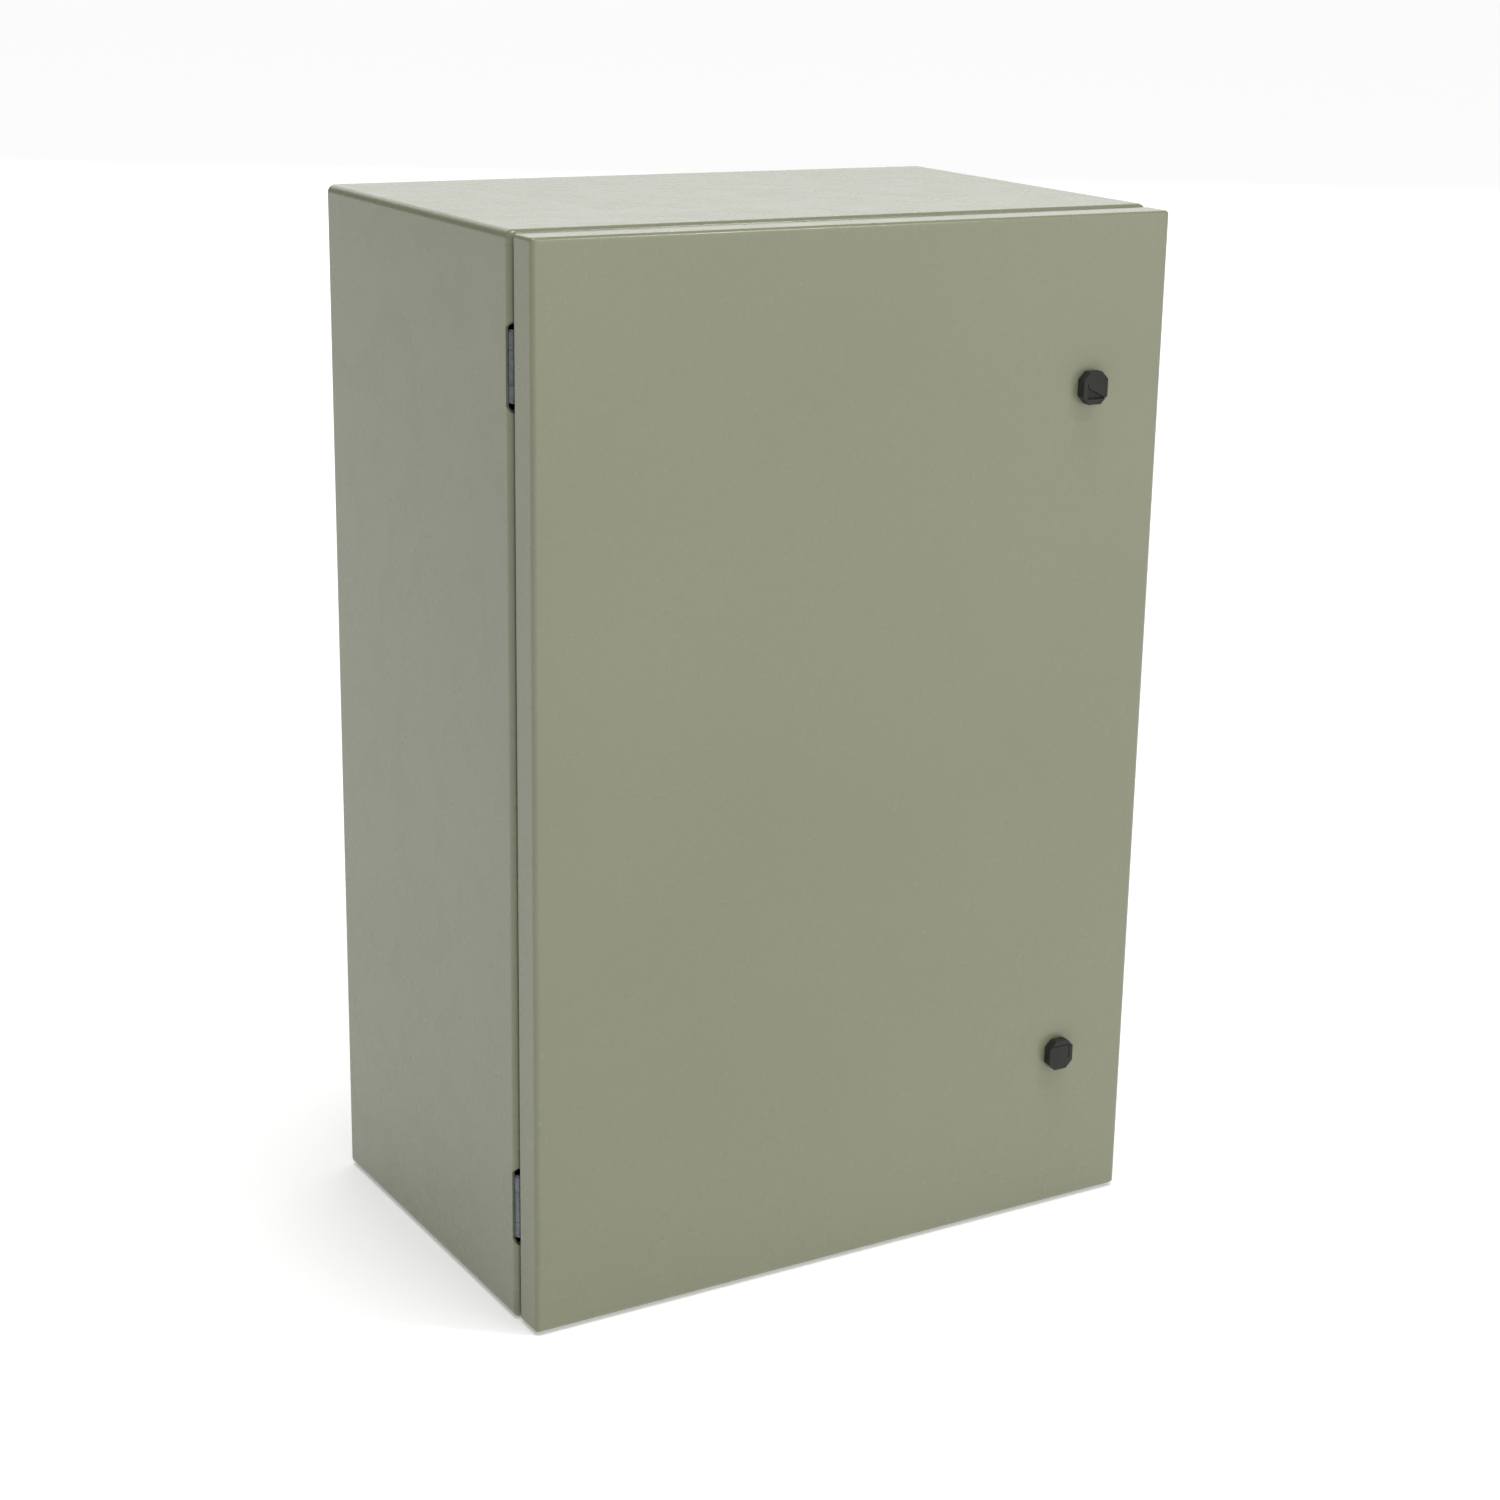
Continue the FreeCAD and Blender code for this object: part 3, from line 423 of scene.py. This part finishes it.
def threaded_studs(node, axis, pitch, slots):
    """Studs with a helical thread and chamfered ends, in the places of the CAD node's plain rods."""
    verts, faces = [], []
    depth = THREAD_DEPTH * pitch
    across = (axis + 1) % 3
    for low, high in islands(node):
        put = along(axis, low, high)
        radius = (high[across] - low[across]) / 2
        rows = int((high[axis] - low[axis]) / pitch * STUD_ROWS_IN_A_TURN) + 1

        def corner(row, column):
            share = row / (rows - 1)
            far = low[axis] + (high[axis] - low[axis]) * share
            turn = column / STUD_SIDES
            phase = ((far - low[axis]) / pitch - turn) % 1
            groove = depth * min(1.0, max(0.0, 1.25 - abs(phase - 0.5) * 3.2))
            end = min(far - low[axis], high[axis] - far)
            here = min(radius - groove, radius - depth * STUD_CHAMFER + end)
            angle = 2 * math.pi * turn
            return put(here * math.cos(angle), here * math.sin(angle), far)

        lathe(rows, STUD_SIDES, corner, verts, faces)
    mesh = bpy.data.meshes.new(node + "_threaded")
    mesh.from_pydata(verts, [], faces)
    recalculate(mesh)
    add_piece(node + "_threaded", mesh, slots, "zinc_plated_steel", node, 50)


def chamfered_nuts(node, axis, size, slots):
    """Hexagon nuts with chamfered corners, in the places of the CAD node's plain prisms."""
    verts, faces = [], []
    flats, bore = size
    half = flats / 2
    land = half * NUT_LAND
    mouth = bore + BORE_CHAMFER
    for low, high in islands(node):
        put = along(axis, low, high)
        first, second = (index for index in range(3) if index != axis)
        flats_first = high[first] - low[first] < high[second] - low[second]
        start, end = low[axis], high[axis]

        def corner(row, column):
            angle = 2 * math.pi * column / NUT_SIDES
            lean = angle if flats_first else angle + math.pi / 6
            reach = half / math.cos((lean + math.pi / 6) % (math.pi / 3) - math.pi / 6)
            rise = (reach - land) * math.tan(math.radians(NUT_CHAMFER))
            ring = (
                (mouth, start),
                (land, start),
                (reach, start + rise),
                (reach, end - rise),
                (land, end),
                (mouth, end),
                (bore, end - BORE_CHAMFER),
                (bore, start + BORE_CHAMFER),
            )[row]
            return put(ring[0] * math.cos(angle), ring[0] * math.sin(angle), ring[1])

        lathe(8, NUT_SIDES, corner, verts, faces, closed=True)
    mesh = bpy.data.meshes.new(node + "_chamfered")
    mesh.from_pydata(verts, [], faces)
    recalculate(mesh)
    add_piece(node + "_chamfered", mesh, slots, "zinc_plated_steel", node, 25)


def recalculate(mesh):
    """Turns every face outwards."""
    work = bmesh.new()
    work.from_mesh(mesh)
    bmesh.ops.recalc_face_normals(work, faces=work.faces)
    work.to_mesh(mesh)
    work.free()


def rounded_copy(node, name, slots, width):
    """A soft seal with rounded edges, in the place of the CAD node's sharp one."""
    mesh = frame["nodes"][node].data.copy()
    mesh.name = name
    work = bmesh.new()
    work.from_mesh(mesh)
    bmesh.ops.remove_doubles(work, verts=work.verts, dist=1e-6)
    least = math.radians(SHARP_EDGE)
    paired = (edge for edge in work.edges if len(edge.link_faces) == 2)
    edges = [edge for edge in paired if edge.calc_face_angle() > least]
    bmesh.ops.bevel(
        work, geom=edges, offset=width, offset_type="OFFSET", segments=2, profile=0.5,
        affect="EDGES", clamp_overlap=True,
    )
    work.to_mesh(mesh)
    work.free()
    add_piece(name, mesh, slots, "foam_seal", node, 60)


def bead_run(half_x, half_z):
    """Points and outward directions round a rectangle with rounded corners."""
    arcs = ((half_x, half_z, 0), (-half_x, half_z, 90), (-half_x, -half_z, 180), (half_x, -half_z, 270))
    path = []
    for corner_x, corner_z, start in arcs:
        inner_x = corner_x - math.copysign(BEAD_CORNER, corner_x)
        inner_z = corner_z - math.copysign(BEAD_CORNER, corner_z)
        for step in range(BEAD_ARC_STEPS + 1):
            angle = math.radians(start + 90 * step / BEAD_ARC_STEPS)
            outward = Vector((math.cos(angle), 0, math.sin(angle)))
            path.append((Vector((inner_x, 0, inner_z)) + BEAD_CORNER * outward, outward))
    run = []
    for (here, outward), (there, ahead) in zip(path, path[1:] + path[:1]):
        steps = max(1, round((there - here).length / BEAD_STEP))
        for step in range(steps):
            share = step / steps
            run.append((here.lerp(there, share), outward.lerp(ahead, share).normalized()))
    return run


def foam_bead(slots):
    """The door's gasket: foam laid down wet, so its top is domed and slightly uneven along its run."""
    low, high = (Vector(c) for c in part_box("door_gasket"))
    middle = (low + high) / 2
    run = bead_run((high.x - low.x) / 2 - BEAD_WIDTH / 2, (high.z - low.z) / 2 - BEAD_WIDTH / 2)

    def point(row, column):
        place, outward = run[row]
        angle = math.pi * column / (BEAD_POINTS - 1)
        wave = noise.noise(place * 90.0)
        dome = math.sin(angle) ** 0.7
        across = math.cos(angle) * BEAD_WIDTH / 2 * (0.94 + 0.03 * wave)
        uneven = 0.955 + 0.04 * noise.noise(place * 60.0 + Vector((3, 1, 7)))
        rise = (high.y - low.y) * dome * uneven
        return middle + place + outward * across + Vector((0, low.y - middle.y + rise, 0))

    verts, faces = [], []
    lathe(len(run), BEAD_POINTS, point, verts, faces, closed=True)
    mesh = bpy.data.meshes.new("door_gasket_bead")
    mesh.from_pydata(verts, [], faces)
    recalculate(mesh)
    add_piece("door_gasket_bead", mesh, slots, "foam_seal", "door_gasket", 60)


def add_details(slots):
    foam_bead(slots)
    rounded_copy("gland_plate_gasket", "gland_plate_seal", slots, GLAND_SEAL_ROUNDING)
    for name in ("upper", "lower"):
        rounded_copy(name + "_lock_seal", name + "_lock_washer", slots, LOCK_SEAL_ROUNDING)
        chamfered_nuts(name + "_lock_nut", 1, LOCK_NUT, slots)
    for studs, nuts, axis, pitch, size in FASTENERS:
        threaded_studs(studs, axis, pitch, slots)
        chamfered_nuts(nuts, axis, size, slots)


add_camera()
add_studio()
add_floor()
material_slots = finishes()
paint_nodes(material_slots)
add_details(material_slots)
